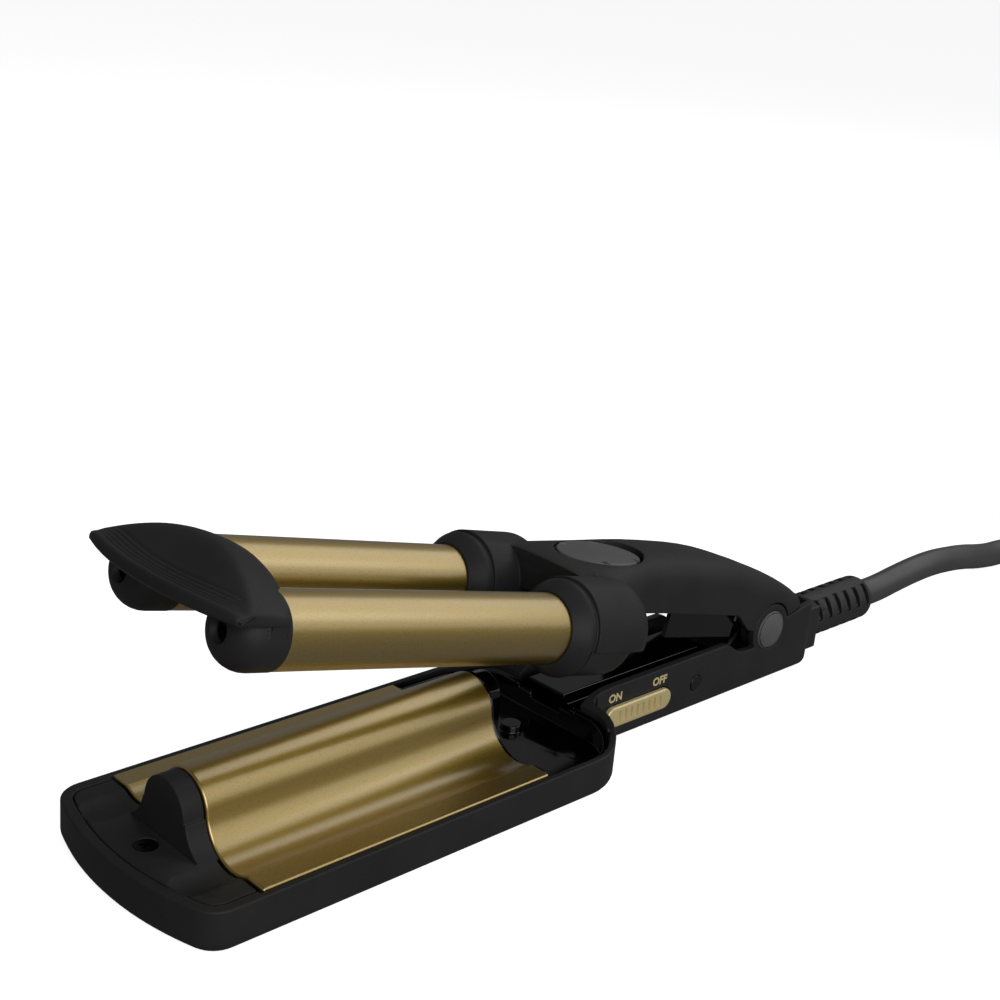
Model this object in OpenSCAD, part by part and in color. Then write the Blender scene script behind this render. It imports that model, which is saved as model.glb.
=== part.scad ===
// Hair waver with three round waves: two heated barrels on a sprung upper arm close into a
// corrugated heated plate in the lower tray. Millimetres, +X to the cord, -Y the switch side, +Z up.
// The upper arm is drawn closed and then opened about the hinge, which is the pose of the part.

/* [Barrels] */
// Outer diameter of a barrel
barrel_d = 16; // [14:0.5:20]
// Wall of a barrel tube
barrel_wall = 1; // [0.6:0.1:1.5]
// Distance of each barrel's axis from the middle plane
barrel_y = 17; // [16:0.25:20]
// Height of the barrel axes above the hinge when closed
barrel_rise = 2.7; // [2:0.1:3.2]
// Distance from the hinge to the collar end of the barrels
barrel_rear = 97.6; // [94:0.2:100]
// Distance from the hinge to the front end of the tubes
barrel_front = 177; // [174:0.5:180]
// Length of the heater rod in a barrel
rod_len = 63; // [50:1:68]

/* [Wave plate] */
// Length of the wave plate
plate_len = 78.3; // [70:0.1:82]
// Gap between the plate's lips and the walls of the tray
plate_gap = 0.1; // [0.05:0.05:0.5]
// Sheet thickness of the wave plate
plate_t = 1.2; // [0.8:0.1:1.5]
// Radius of the middle ridge
ridge_r = 7.9; // [7:0.1:8]
// Gap between a closed barrel and the valley
hair_gap = 1.2; // [0.8:0.1:2]
// Height of the plate's outer lips
lip_h = 10.3; // [10:0.1:11]
// Length of a heater block under the plate
block_len = 54; // [40:1:64]
// Width of a heater block under the plate
block_w = 9.6; // [7:0.2:10]

/* [Lower casing] */
// Width of the tray
tray_w = 58; // [57:0.5:64]
// Distance from the hinge to the tray's front
tray_front = 195; // [193:1:205]
// Distance from the hinge to the tray's rear wall
tray_rear = 70; // [66:0.5:71]
// Height of the tray's rim
rim_h = 10; // [9.5:0.1:11]
// Wall of the casings
wall = 1.7; // [1.4:0.1:2.2]
// Floor of the lower casing
floor_t = 2; // [1.5:0.1:2.5]
// Radius of the lower edges
edge_r = 3; // [1.5:0.1:3.4]
// Width of the handle
handle_w = 25; // [24:0.5:28]
// Height of the lower handle's sides
side_h = 15.7; // [14:0.1:16]
// Distance from the hinge to the lower handle's rear wall
handle_rear = 20.3; // [18:0.1:22]

/* [Hinge] */
// Height of the hinge axis
hinge_h = 15.5; // [15:0.1:16.5]
// Angle the arms stand open at rest
open_angle = 13.6; // [8:0.2:18]
// Diameter of the hinge pin
pin_d = 3; // [2:0.1:4]
// Running clearance round the hinge pin, on the radius
pin_clear = 0.05; // [0.02:0.01:0.1]
// Radius of the round eye in each side of the lower handle
eye_r = 7.3; // [6.8:0.1:8]
// Radius of the pivot caps
cap_r = 5.4; // [4:0.1:6]
// Gap between the two arms where they meet
arm_gap = 0.4; // [0.3:0.05:0.8]

/* [Yoke] */
// Thickness of the yoke round each barrel
yoke_wall = 3.8; // [3.4:0.1:4]
// Thickness of the collars round the barrels
collar_wall = 3.2; // [2.6:0.1:3.4]
// Distance from the hinge to the rear end of the yoke arms
arm_rear = 71.5; // [70:0.5:78]
// Height of the seam between the yoke and its cover, above the hinge
seam_up = 1; // [0:0.1:3]
// Length of the oval pad
pad_len = 24.4; // [20:0.2:28]
// Width of the oval pad
pad_w = 19; // [15:0.5:22]

/* [Switch] */
// Length of the slide switch's button
slider_len = 24; // [18:0.5:26]
// Height of the slide switch's button
slider_h = 5.6; // [4:0.1:7]
// Travel of the slide switch
slider_travel = 3; // [1:0.1:3]
// Gap round the moving button
slider_gap = 0.35; // [0.3:0.05:0.6]
// Diameter of the indicator lens
lens_d = 4.2; // [3:0.1:5]

/* [Cord] */
// Diameter of the mains cord
cord_d = 8; // [7:0.1:8]
// Diameter of the strain relief
relief_d = 13; // [12:0.2:14.4]
// Length of the round strain relief behind its block
relief_len = 30; // [28:1:40]
// Slots in each row of the strain relief
relief_slots = 6; // [4:1:6]
// Radius of the hank's inner bend
hank_r = 24.6; // [24:0.1:26]
// Half length of the hank's straight runs
hank_run = 54; // [50:1:56]

/* [Hidden] */

eps = 0.01;
fit = 0.05;
far = 400;
near_side = -1;
far_side = 1;

// Screws: radii of shank and head, and the slot of the driver
shank_r = 1.15;
head_r = 2.4;
head_t = 1.4;
slot_len = 2.8;
slot_w = 0.6;
// depth of the liner screws' heads, from the bottom of the casing
liner_head = 1.7;

// Barrels and plate
barrel_r = barrel_d / 2;
barrel_h = hinge_h + barrel_rise;
valley_r = barrel_r + hair_gap;
plate_rear = barrel_rear + 1.1;
plate_front = plate_rear + plate_len;
ridge_reach = ridge_r + valley_r;
ridge_drop = sqrt(pow(ridge_reach, 2) - pow(barrel_y, 2));
ridge_h = barrel_h - ridge_drop;
plate_w = tray_w - 2 * (wall + plate_gap);

// Lower casing
tray_r = tray_w / 2;
handle_r = handle_w / 2;
heel_wall = 2.2;
inner_r = handle_r - heel_wall;
front_arc = 77;
front_corner = 7;
rear_corner = 14;
arc_x = front_arc - tray_front;
corner_y = tray_r - front_corner;
corner_x = arc_x - sqrt(pow(front_arc - front_corner, 2) - pow(corner_y, 2));
rear_x = -tray_rear;
ledge_w = 1.6;
nose_wall = 2.6;
pan_floor = 4.2;
pan_t = 1.2;
deck_h = 11;
boss_r = 2.6;
nose_hollow = plate_front + 10;
nose_screw_x = 9 - tray_front;
// place of each liner screw, and the height of the post that takes it
liner_posts = [[-tray_rear - 14, 3], [-24, deck_h - pan_floor]];
post_top = 0.8;

// Hinge
ear_in = inner_r - 0.4;
ear_t = 2.7;
ear_r = 6.3;
ear_top = 26;
// top of the heel's edge, from the hinge axis to the rear wall
heel = [[0, 0], [6.6, 2.1], [handle_rear - 3.1, 3.8]];

// Yoke
arm_r = barrel_r + yoke_wall;
seam_h = hinge_h + seam_up;
arm_front = barrel_rear - 4.6;
yoke_front = arm_rear + 12;
socket_x = -arm_rear - 13.5;
screw_x = -arm_rear - 9.5;
under_r = arm_r - 0.9;
pad_x = 6.9 - arm_rear;
pad_h = 31.1;
pad_slope = -4;
pad_dome = 120;
cover_h = 20.6;
cover_t = 1.2;

// Switch
slider_x = -52.4;
switch_h = 7.4;
recess = 0.7;
stem_len = 4;
stem_h = 2.4;
lens_x = -29.8;
lens_h = 7.9;
board_h = 4.6;

// Cord
cord_r = cord_d / 2;
relief_h = 7.4;
relief_r = relief_d / 2;
block_end = 30;
relief_end = block_end + relief_len;
slot_pitch = 4.6;

// Hank: one turn in, half a turn up, one turn out, half a turn up and one turn in
hank_low = cord_r + 0.1;
hank_pitch = cord_d + 0.7;
hank_outer = hank_r + hank_pitch;
climb_turns = 0.5;
hank_turns = 3 + 2 * climb_turns;
run_share = 0.27;
bend_share = 0.5 - run_share;
// middle of the hank, and its first run, which the cord reaches by two equal bends aside
hank_y = -8.8;
run_x = 206;
hank_x = run_x + hank_run;
bend_x = 138;
bend_len = run_x - 1 - bend_x;
aside = hank_outer - hank_y;
bend_angle = 2 * atan(aside / bend_len);
bend_r = bend_len / 2 / sin(bend_angle);

// The cord from inside the handle to its bend aside, chosen by hand
cord_route = concat([[14, 0, relief_h], [22, 0, relief_h], [30, 0, relief_h], [40, 0, relief_h],
    [50, 0, relief_h], [relief_end, 0, relief_h], [70, 0, 7.5], [80, 0, 8.4], [90, 0, 9.1],
    [100, 0, 9.2], [110, 0, 8.4], [119, 0, 7.2], [128, 0, 5.5], [bend_x - 2, 0, 4.4]],
    [for (i = [1:8]) let (a = bend_angle * i / 8)
        [bend_x + bend_r * sin(a), -bend_r * (1 - cos(a)), hank_low]],
    [for (i = [7:-1:0]) let (a = bend_angle * i / 8)
        [run_x - 1 - bend_r * sin(a), -aside + bend_r * (1 - cos(a)), hank_low]],
    [[run_x - 0.5, -aside, hank_low]]);

black = [0.1, 0.1, 0.1];
gloss = [0.03, 0.03, 0.03];
gold = [0.6, 0.5, 0.3];
steel = [0.7, 0.7, 0.72];

// ---- helpers ----

// a profile in Y and Z, drawn along X
module along_x(from, to) {
    translate([from, 0, 0]) rotate([90, 0, 90]) linear_extrude(to - from) children();
}

// a profile in X and Z, drawn across Y
module along_y(from, to) {
    translate([0, to, 0]) rotate([90, 0, 0]) linear_extrude(to - from) children();
}

// a round bar along X
module bar_x(r, from, to, y = 0, z = 0, n = 64) {
    translate([from, y, z]) rotate([0, 90, 0]) cylinder(r = r, h = to - from, $fn = n);
}

// a round bar along Y
module bar_y(r, from, to, x = 0, z = 0, n = 64) {
    translate([x, to, z]) rotate([90, 0, 0]) cylinder(r = r, h = to - from, $fn = n);
}

module box(low, high) {
    translate(low) cube(high - low);
}

module both_sides() {
    children();
    mirror([0, 1, 0]) children();
}

// the closed upper arm, opened about the hinge
module opened() {
    translate([0, 0, hinge_h]) rotate([0, open_angle, 0]) translate([0, 0, -hinge_h]) children();
}

function arc(cx, cy, r, from, to, steps) =
    [for (i = [0:steps]) let (a = from + (to - from) * i / steps) [cx + r * cos(a), cy + r * sin(a)]];

function flip(points) = [for (i = [len(points) - 1:-1:0]) [points[i][0], -points[i][1]]];

// tube of flat faces along a route, ring by ring
function unit(v) = v / norm(v);
function heading(route, i) =
    unit(route[min(i + 1, len(route) - 1)] - route[max(i - 1, 0)]);
function ring(route, i, r, sides, up) =
    let (t = heading(route, i), s = unit(cross(up, t)), u = cross(t, s))
    [for (k = [0:sides - 1]) let (a = 360 * (k + 0.5) / sides) route[i] + r * (cos(a) * s + sin(a) * u)];

module tube(route, r, sides, up = [0, 0, 1]) {
    last = len(route) - 1;
    points = [for (i = [0:last]) each ring(route, i, r, sides, up)];
    skin = [for (i = [0:last - 1], k = [0:sides - 1])
        let (a = i * sides + k, b = i * sides + (k + 1) % sides)
        each [[a, b + sides, b], [a, a + sides, b + sides]]];
    start = [for (k = [1:sides - 2]) [0, k, k + 1]];
    end = [for (k = [1:sides - 2]) [last * sides, last * sides + k + 1, last * sides + k]];
    polyhedron(points = points, faces = concat(skin, start, end), convexity = 8);
}

// cross-shaped slot of a screw, cut along Z about the head's face
module cross_slot() {
    for (a = [0, 90]) rotate([0, 0, a]) cube([slot_len, slot_w, head_t], center = true);
}

// closed solid through rings that all have the same number of points
module loft(rings) {
    sides = len(rings[0]);
    last = len(rings) - 1;
    skin = [for (i = [0:last - 1], k = [0:sides - 1])
        let (a = i * sides + k, b = i * sides + (k + 1) % sides)
        each [[a, b + sides, b], [a, a + sides, b + sides]]];
    start = [[for (k = [0:sides - 1]) k]];
    end = [[for (k = [sides - 1:-1:0]) last * sides + k]];
    polyhedron(points = [for (r = rings) each r], faces = concat(skin, start, end), convexity = 8);
}

// a plan's points at a height, turned to run anticlockwise
function lift(points, z) = [for (i = [len(points) - 1:-1:0]) [points[i][0], points[i][1], z]];

// ---- lower casing ----

// plan of the tray, drawn in by an inset
function tray_half(inset) = concat(
    arc(arc_x, 0, front_arc - inset, 180, 180 - asin(corner_y / (front_arc - front_corner)), 10),
    arc(corner_x, corner_y, front_corner - inset,
        180 - asin(corner_y / (front_arc - front_corner)), 90, 8),
    arc(rear_x - rear_corner, tray_r - rear_corner, rear_corner - inset, 90, 0, 10));

function tray_loop(inset) = let (half = tray_half(inset))
    concat(half, flip([for (i = [1:len(half) - 1]) half[i]]));

module tray_plan(inset) polygon(tray_loop(inset));

function handle_half(inset) = concat(
    [[rear_x - 6, handle_r - inset]],
    arc(handle_rear - 3.4, handle_r - 3.4, 3.4 - inset, 90, 0, 6));

function handle_loop(inset) = let (half = handle_half(inset)) concat(half, flip(half));

// lower edges rounded in steps of 15 degrees
module rounded_tray(height) loft(concat(
    [for (a = [0:15:90]) lift(tray_loop(edge_r * (1 - sin(a))), edge_r * (1 - cos(a)))],
    [lift(tray_loop(0), height)]));

module rounded_handle(height) loft(concat(
    [for (a = [0:15:90]) lift(handle_loop(edge_r * (1 - sin(a))), edge_r * (1 - cos(a)))],
    [lift(handle_loop(0), height)]));

// side view of the lower casing: low tray, rise to the handle, dip before the hinge, raised heel
module lower_side() {
    polygon([[-far, 0], [-far, rim_h], [rear_x - 10, rim_h], [rear_x - 7, rim_h + 0.4],
        [rear_x - 4, rim_h + 1.5], [rear_x - 1, side_h - 2.5], [rear_x + 1.5, side_h - 0.9],
        [rear_x + 4, side_h - 0.2], [rear_x + 7, side_h], [-18.5, side_h], [-16.5, side_h - 0.8],
        [-14, 13], [-11.5, 12], [-8, 11.8], [0, 11.8], [heel[0][0], hinge_h + heel[0][1]],
        [heel[1][0], hinge_h + heel[1][1]], [heel[2][0], hinge_h + heel[2][1]],
        [handle_rear - 1.2, hinge_h + 3.9], [handle_rear + 1, hinge_h + 2.6], [handle_rear + 1, 0]]);
}

module casing_inside() {
    // tray pocket with a ledge for the plate's lips
    difference() {
        translate([0, 0, floor_t]) linear_extrude(far) {
            tray_plan(nose_wall);
            intersection() {
                tray_plan(wall);
                translate([-plate_front - 0.6, -far]) square(2 * far);
            }
        }
        both_sides() box([-plate_front - 0.5, plate_w / 2 - ledge_w, 0],
            [-plate_rear + 0.5, tray_r, lip_h - plate_t]);
    }
    // handle pocket, open to the tray
    box([rear_x - wall - 1, -inner_r, floor_t], [handle_rear - heel_wall, inner_r, far]);
}

module slider_slot() {
    reach = slider_len / 2 - slider_h / 2;
    r = slider_h / 2 + slider_gap;
    left = slider_x - reach - slider_travel;
    right = slider_x + reach;
    bar_y(r, -handle_r - 1, -handle_r + recess, left, switch_h, 32);
    bar_y(r, -handle_r - 1, -handle_r + recess, right, switch_h, 32);
    box([left, -handle_r - 1, switch_h - r], [right, -handle_r + recess, switch_h + r]);
    // slot of the stem
    box([slider_x - stem_len / 2 - slider_travel - slider_gap, -handle_r - 1,
            switch_h - stem_h / 2 - slider_gap],
        [slider_x + stem_len / 2 + slider_gap, -inner_r + 1, switch_h + stem_h / 2 + slider_gap]);
}

// fillet in plan where the handle leaves the tray
module heel_fillet() {
    both_sides() linear_extrude(side_h) difference() {
        translate([rear_x - 0.2, handle_r - 0.2]) square([2, 2.2]);
        translate([rear_x + 2, handle_r + 2]) circle(r = 2, $fn = 48);
    }
}

module lower_casing() color(black) difference() {
    union() {
        difference() {
            intersection() {
                union() {
                    rounded_tray(side_h);
                    rounded_handle(22);
                    translate([0, 0, edge_r]) heel_fillet();
                }
                along_y(-far, far) lower_side();
            }
            casing_inside();
        }
        // eyes of the hinge
        both_sides() bar_y(eye_r, inner_r, handle_r, 0, hinge_h);
        // ribs under the heater blocks
        for (i = [0:2], s = [-1, 1]) translate([block_rear - 1 - i * (block_len - 2) / 2, s * barrel_y, 0])
            box([-1, -block_w / 2, floor_t - 0.5], [1, block_w / 2, pan_floor]);
        // rib that carries the plate bracket and the front of the liner
        box([-plate_rear + 0.2, -tray_r + 1, floor_t - 0.5], [-plate_rear + 4, tray_r - 1, pan_floor]);
        // bosses for the nose screw, the liner screws and the board
        for (x = [nose_screw_x, liner_posts[0][0], liner_posts[1][0]])
            translate([x, 0, floor_t - 0.5])
                cylinder(r = boss_r, h = pan_floor - floor_t + 0.5, $fn = 40);
        for (x = [-38, -20], y = [-6, 6])
            translate([x, y, floor_t - 0.5]) cylinder(r = 1.4, h = board_h - floor_t + 0.5, $fn = 24);
        // bridge that holds the lower leg of the spring
        box([spring_foot - 1, -3, floor_t - 0.5], [spring_foot + 1, 3, spring_rest]);
    }
    slider_slot();
    // lens, pin, caps and cord
    bar_y(lens_d / 2 + fit, -handle_r - 1, -inner_r + 1, lens_x, lens_h, 40);
    bar_y(pin_d / 2, -far, far, 0, hinge_h, 48);
    both_sides() bar_y(cap_r + fit, handle_r - 1.2, far, 0, hinge_h);
    bar_x(relief_neck + fit, 10, far, 0, relief_h, 48);
    // nose screw
    translate([nose_screw_x, 0, floor_t]) cylinder(r = shank_r + fit, h = far, $fn = 24);
    // liner screws from below
    for (p = liner_posts) translate([p[0], 0, -1]) {
        cylinder(r = shank_r + 0.45, h = far, $fn = 24);
        cylinder(r = head_r + 0.5, h = 1 + liner_head, $fn = 40);
    }
}

// ---- wave plate ----

// everything below the plate's top surface, lowered by an offset
module under_wave(down) {
    difference() {
        translate([-plate_w / 2, -5]) square([plate_w, lip_h - down + 5]);
        for (s = [-1, 1]) translate([s * barrel_y, barrel_h]) circle(r = valley_r + down, $fn = 96);
    }
    // pillar of the ridge between the valleys, up to where their curves meet
    difference() {
        translate([-barrel_y, -5])
            square([2 * barrel_y, ridge_h + (ridge_r - down) * ridge_drop / ridge_reach + 5]);
        for (s = [-1, 1]) translate([s * barrel_y, barrel_h]) circle(r = valley_r + down, $fn = 96);
    }
    translate([0, ridge_h]) intersection() {
        circle(r = ridge_r - down, $fn = 96);
        translate([-ridge_r, 0]) square([2 * ridge_r, 2 * ridge_r]);
    }
}

module wave_plate() color(gold) along_x(-plate_front, -plate_rear) difference() {
    under_wave(0);
    under_wave(plate_t);
}

// heater block pressed up into a valley from below
block_rear = -111;
module plate_heater(side) color(steel) difference() {
    translate([block_rear - block_len, side * barrel_y - block_w / 2, pan_floor])
        cube([block_len, block_w, lip_h - pan_floor]);
    bar_x(valley_r + plate_t + fit, -far, 0, side * barrel_y, barrel_h, 96);
}
module plate_heater_near() plate_heater(near_side);
module plate_heater_far() plate_heater(far_side);

// black end piece behind the plate, with the round stop that runs on from the ridge
stop_r = 5.2;
stop_h = ridge_h + 2.05;
module plate_bracket() color(gloss) {
    along_x(-plate_rear, -plate_rear + 1) intersection() {
        under_wave(0.4);
        translate([-plate_w / 2 + ledge_w, pan_floor]) square([plate_w - 2 * ledge_w, far]);
    }
    along_x(-plate_rear + 0.9, -plate_rear + 5) {
        translate([-stop_r, pan_floor + pan_t + fit])
            square([2 * stop_r, stop_h - pan_floor - pan_t - fit]);
        translate([0, stop_h]) circle(r = stop_r, $fn = 64);
    }
}

// ---- nose of the tray ----
nose_seat = rim_h - 1.6;
plug_front = plate_front + 5;
plug_r = ridge_r - 0.6;
plug_foot = 12.6;

module nose_cap() color(black) difference() {
    union() {
        intersection() {
            translate([0, 0, pan_floor]) linear_extrude(rim_h - 0.1 - pan_floor)
                tray_plan(nose_wall + 0.1);
            box([-far, -far, 0], [-plate_front - 0.6, far, far]);
        }
        // plug that closes the end of the ridge
        along_x(-plug_front, -plate_front) {
            translate([-plug_foot, pan_floor]) square([2 * plug_foot, ridge_h - pan_floor]);
            translate([0, ridge_h]) circle(r = plug_r, $fn = 96);
        }
    }
    // hollows that carry the valleys on into the nose
    for (s = [-1, 1]) {
        bar_x(valley_r + 0.2, -nose_hollow, 0, s * barrel_y, barrel_h, 96);
        translate([-nose_hollow, s * barrel_y, barrel_h]) sphere(r = valley_r + 0.2, $fn = 96);
    }
    // seat of the screw
    translate([nose_screw_x, 0, 0]) cylinder(r = shank_r + 0.1, h = far, $fn = 24);
    translate([nose_screw_x, 0, nose_seat]) cylinder(r = head_r + 0.15, h = far, $fn = 40);
}

module nose_screw() color(steel) translate([nose_screw_x, 0, 0]) difference() {
    union() {
        translate([0, 0, nose_seat]) cylinder(r = head_r, h = head_t, $fn = 40);
        translate([0, 0, floor_t]) cylinder(r = shank_r, h = nose_seat - floor_t + eps, $fn = 24);
    }
    translate([0, 0, nose_seat + head_t]) rotate([0, 0, 45]) cross_slot();
}

// ---- inner liner ----
rail_w = 6;
rail_h = 14;
liner_drop = 1.2;

module inner_liner() color(gloss) difference() {
    union() {
        // pan of the basin
        intersection() {
            difference() {
                translate([0, 0, pan_floor]) linear_extrude(far) tray_plan(wall + 0.15);
                translate([0, 0, pan_floor + pan_t]) linear_extrude(far)
                    tray_plan(wall + 0.15 + pan_t);
                box([rear_x - 4, -inner_r + pan_t + 0.2, deck_h - pan_t], [0, inner_r - pan_t - 0.2, far]);
            }
            box([-plate_rear + 1.05, -far, 0], [0, far, far]);
            along_y(-far, far) translate([0, -liner_drop]) lower_side();
        }
        // deck and rail in the handle
        box([rear_x - 3, -inner_r + 0.15, deck_h - pan_t], [-15, inner_r - 0.15, deck_h]);
        box([rear_x - 3, -rail_w, deck_h - eps], [-22.4, rail_w, rail_h]);
        // posts down to the screws
        for (p = liner_posts) translate([p[0], 0, pan_floor]) cylinder(r = boss_r, h = p[1], $fn = 40);
    }
    // screw holes, and the rail is hollow from below
    for (p = liner_posts) translate([p[0], 0, 0])
        cylinder(r = shank_r + fit, h = pan_floor + p[1] - post_top, $fn = 24);
    box([rear_x - 4, -rail_w + pan_t, deck_h - pan_t - 1], [-30, rail_w - pan_t, rail_h - pan_t]);
}

module liner_screws() color(steel) for (p = liner_posts) translate([p[0], 0, 0]) difference() {
    union() {
        translate([0, 0, liner_head - head_t]) cylinder(r = head_r, h = head_t, $fn = 40);
        translate([0, 0, liner_head - eps])
            cylinder(r = shank_r, h = pan_floor + p[1] - post_top - liner_head, $fn = 24);
    }
    translate([0, 0, liner_head - head_t]) cross_slot();
}

// ---- switch, lens and board ----
grooves = 8;
groove_pitch = 2.15;

module switch_slider() color(gold) {
    reach = slider_len / 2 - slider_h / 2;
    outer = -handle_r - 0.9;
    back = -handle_r + recess - slider_gap;
    difference() {
        union() {
            for (s = [-1, 1]) bar_y(slider_h / 2, outer, back, slider_x + s * reach, switch_h, 48);
            box([slider_x - reach, outer, switch_h - slider_h / 2],
                [slider_x + reach, back, switch_h + slider_h / 2]);
        }
        // grip grooves
        for (i = [0:grooves - 1])
            translate([slider_x + (i - (grooves - 1) / 2) * groove_pitch, outer, switch_h])
                cube([0.9, 1, 3.4], center = true);
    }
    // stem into the switch
    box([slider_x - stem_len / 2, back - eps, switch_h - stem_h / 2],
        [slider_x + stem_len / 2, -inner_r + 1.3, switch_h + stem_h / 2]);
}

module switch_body() color(gloss) difference() {
    box([slider_x - 9, -inner_r, floor_t], [slider_x + 6, -4.4, deck_h - pan_t]);
    box([slider_x - stem_len / 2 - slider_travel - 0.6, -inner_r - 1, switch_h - stem_h / 2 - 0.6],
        [slider_x + stem_len / 2 + 0.6, -inner_r + 1.7, switch_h + stem_h / 2 + 0.6]);
}

module indicator_lens() color([0.5, 0.1, 0.08]) {
    bar_y(lens_d / 2, -handle_r - 0.1, -inner_r + eps, lens_x, lens_h, 40);
    box([lens_x - 2.8, -inner_r, lens_h - 2.8],
        [lens_x + 2.8, -inner_r + 0.8, min(lens_h + 1.8, deck_h - pan_t - fit)]);
}

module control_board() color([0.1, 0.3, 0.16]) {
    box([-41, -8, board_h], [-28, 8, board_h + 1.2]);
    box([-28.1, -8, board_h], [-17, -3.2, board_h + 1.2]);
    box([-28.1, 3.2, board_h], [-17, 8, board_h + 1.2]);
    // lamp behind the lens, and a capacitor
    box([lens_x - 1.5, -8, board_h + 1.19], [lens_x + 1.5, -5, lens_h + 1.5]);
    translate([-36, 3, board_h + 1.19]) cylinder(r = 2.4, h = 3.2, $fn = 32);
}

// ---- hinge ----
module hinge_pin() color(steel) bar_y(pin_d / 2, -handle_r + 1.2, handle_r - 1.2, 0, hinge_h, 48);

cap_out = 1.4;
cap_dome = 11;
module pivot_caps() color(black) both_sides() {
    bar_y(cap_r, handle_r - 1.2, handle_r + 0.2, 0, hinge_h);
    intersection() {
        bar_y(cap_r, handle_r + 0.1, handle_r + 5, 0, hinge_h);
        translate([0, handle_r + cap_out - cap_dome, hinge_h]) sphere(r = cap_dome, $fn = 96);
    }
}

spring_r = 3.2;
wire_r = 0.6;
spring_coils = 5;
spring_pitch = 1.35;
spring_rest = 5.6;
spring_foot = -10;
spring_half = spring_coils * spring_pitch / 2;
// torsion spring, wound as it is when the arms are closed: one leg on the lower casing's bridge and
// one under the upper arm's cover
module return_spring() color(steel) {
    steps = spring_coils * 12 + 6;
    turns = [for (i = [0:steps]) let (a = -90 - 30 * i)
        [spring_r * cos(a), spring_half * (2 * i / steps - 1), hinge_h + spring_r * sin(a)]];
    low_leg = [[spring_foot - 1, -spring_half, spring_rest + wire_r],
        [spring_foot + 1, -spring_half, spring_rest + wire_r + 0.3], [-3, -spring_half, 11.2]];
    high_leg = [[-3, spring_half, hinge_h + spring_r + 0.1],
        [-12, spring_half, cover_h - wire_r - 0.4]];
    tube(concat(low_leg, turns, high_leg), wire_r, 6, [0, 1, 0]);
}

// ---- strain relief, cord and plug ----
relief_neck = 5;
end_r = 3;
slot_wide = 6;
// turn of the rows about the cord
row_turn = -32;

module strain_relief() color(black) difference() {
    union() {
        // block against the handle, neck through its wall and flange inside
        box([handle_rear, -7.5, 1.1], [block_end, 7.5, 13.7]);
        bar_x(relief_neck, handle_rear - 4, handle_rear + 1, 0, relief_h, 48);
        box([handle_rear - 4.2, -6.4, floor_t + fit], [handle_rear - heel_wall - fit, 6.4, 12.8]);
        // round body with a rounded end
        translate([block_end - 0.5, 0, relief_h]) rotate([0, 90, 0]) rotate_extrude($fn = 96)
            polygon(concat([[0, 0], [relief_r, 0]],
                arc(relief_r - end_r, relief_len + 0.5 - end_r, end_r, 0, 90, 6),
                [[0, relief_len + 0.5]]));
    }
    // four rows of slots, with a spine between rows
    for (i = [0:relief_slots - 1], a = [0:90:270])
        translate([block_end + 2.4 + i * slot_pitch, 0, relief_h]) rotate([a + row_turn, 0, 0])
            translate([0, cord_r + 0.7, -slot_wide / 2]) cube([1.7, relief_r, slot_wide]);
    bar_x(cord_r, 0, far, 0, relief_h, 48);
}

module power_cord() color(black) tube(cord_route, cord_r, 12);

// the hank's bend radius, height and place after a number of turns
function hank_radius(t) =
    t < 1 ? hank_outer - hank_pitch * t
    : t < 1 + climb_turns ? let (u = t - 1)
        hank_outer - hank_pitch * (1 + u - u * u / climb_turns)
    : t < 2 + climb_turns ? hank_r + hank_pitch * (t - 1 - climb_turns)
    : t < 3 ? let (u = t - 2 - climb_turns) hank_outer + hank_pitch * (u - u * u / climb_turns)
    : hank_outer - hank_pitch * (t - 3);
function climb(t) = (1 - cos(180 * min(1, max(0, t / climb_turns)))) / 2;
function hank_height(t) = hank_low + hank_pitch * (climb(t - 1) + climb(t - 2 - climb_turns));
function hank_place(u, r) =
    u < run_share ? [hank_run * (2 * u / run_share - 1), -r]
    : u < 0.5 ? let (a = 180 * (u - run_share) / bend_share - 90)
        [hank_run + r * cos(a), r * sin(a)]
    : u < 0.5 + run_share ? [hank_run * (1 - 2 * (u - 0.5) / run_share), r]
    : let (a = 180 * (u - 0.5 - run_share) / bend_share + 90)
        [r * cos(a) - hank_run, r * sin(a)];
hank_stops = [for (side = [0, 0.5]) each concat(
    [for (i = [0:3]) side + run_share * i / 4],
    [for (i = [0:11]) side + run_share + bend_share * i / 12])];
function hank_point(t) = let (p = hank_place(t - floor(t), hank_radius(t)))
    [hank_x + p[0], hank_y + p[1], hank_height(t)];
hank_end = [hank_x - hank_run, hank_y - hank_r, hank_height(hank_turns)];
hank_route = concat([[run_x - 0.5, -aside, hank_low]],
    [for (turn = [0:hank_turns - 1], u = hank_stops) hank_point(turn + u)],
    [hank_end, hank_end + [0.5, 0, 0]]);
hank_gap = min([for (i = [0:len(hank_route) - 1], j = [i + 12:1:len(hank_route) - 1])
    norm(hank_route[i] - hank_route[j])]) - cord_d;
echo(hank_gap = hank_gap);

module cord_coil() color(black) tube(hank_route, cord_r, 6);

// the lead leaves the top layer, comes down inside the hank and runs into the plug
plug_h = 7;
lead_len = 64;
lead_start = hank_end + [1, 0, 0];
lead_fall = hank_end[2] - plug_h;
lead_route = concat([hank_end + [0.5, 0, 0]], [for (i = [0:12])
    let (u = i / 12, swing = u < 0.5 ? 2 * u * u : 1 - 2 * pow(1 - u, 2))
        lead_start + [lead_len * u, hank_r * swing, -lead_fall * swing]],
    [lead_start + [lead_len + 6, hank_r, -lead_fall]]);
plug_x = lead_start[0] + lead_len + 6;
plug_y = hank_y;
module plug_lead() color(black) tube(lead_route, cord_r, 12);

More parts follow.
